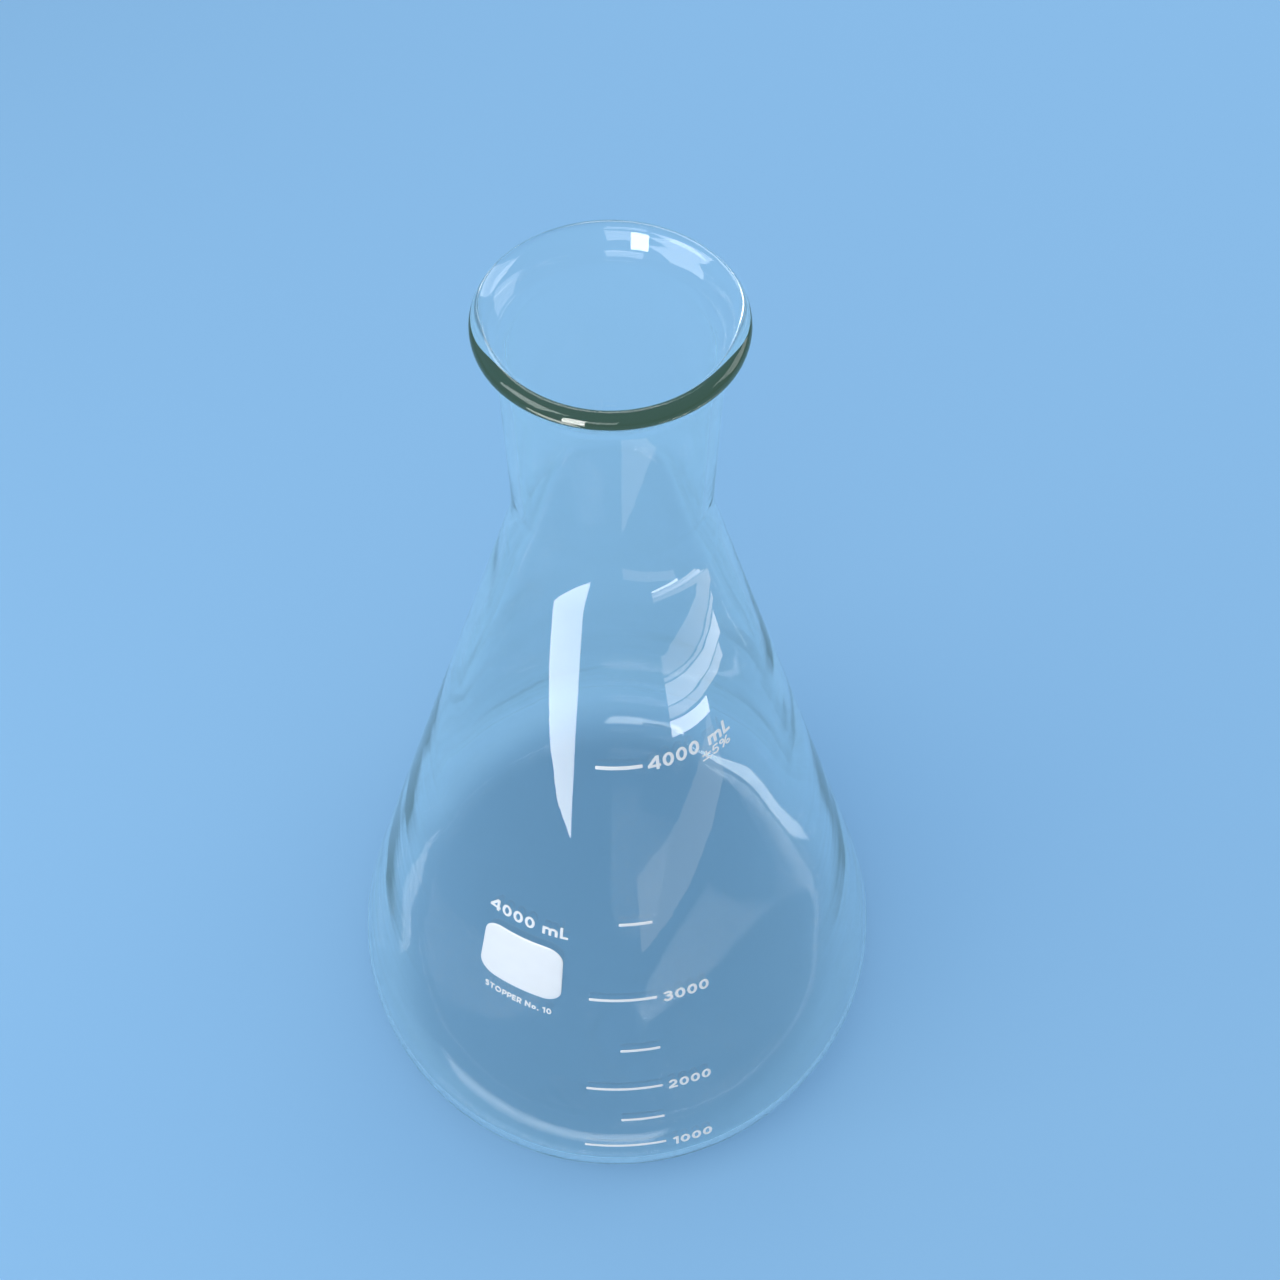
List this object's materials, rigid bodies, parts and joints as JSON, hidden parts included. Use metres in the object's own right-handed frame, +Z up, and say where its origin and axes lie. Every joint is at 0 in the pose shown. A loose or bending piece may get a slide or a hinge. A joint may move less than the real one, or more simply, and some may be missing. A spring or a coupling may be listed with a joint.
{
  "type": "erlenmeyer flask",
  "caption": "Conical laboratory flask of clear borosilicate glass with a narrow neck, beaded rim and white graduations, for mixing and heating liquids.",
  "frame": {"origin": "middle of the circle on which the flask stands", "axes": "+Z up along the flask's axis towards the mouth, graduations facing -Y"},
  "size_m": [0.2059, 0.206, 0.356],
  "materials": {
    "glass": "clear polished borosilicate glass",
    "enamel": "white fired enamel, satin gloss"
  },
  "bodies": {
    "root": {"flask_body": "glass", "graduation_lines": "enamel", "marking_patch": "enamel"}
  },
  "joints": []
}
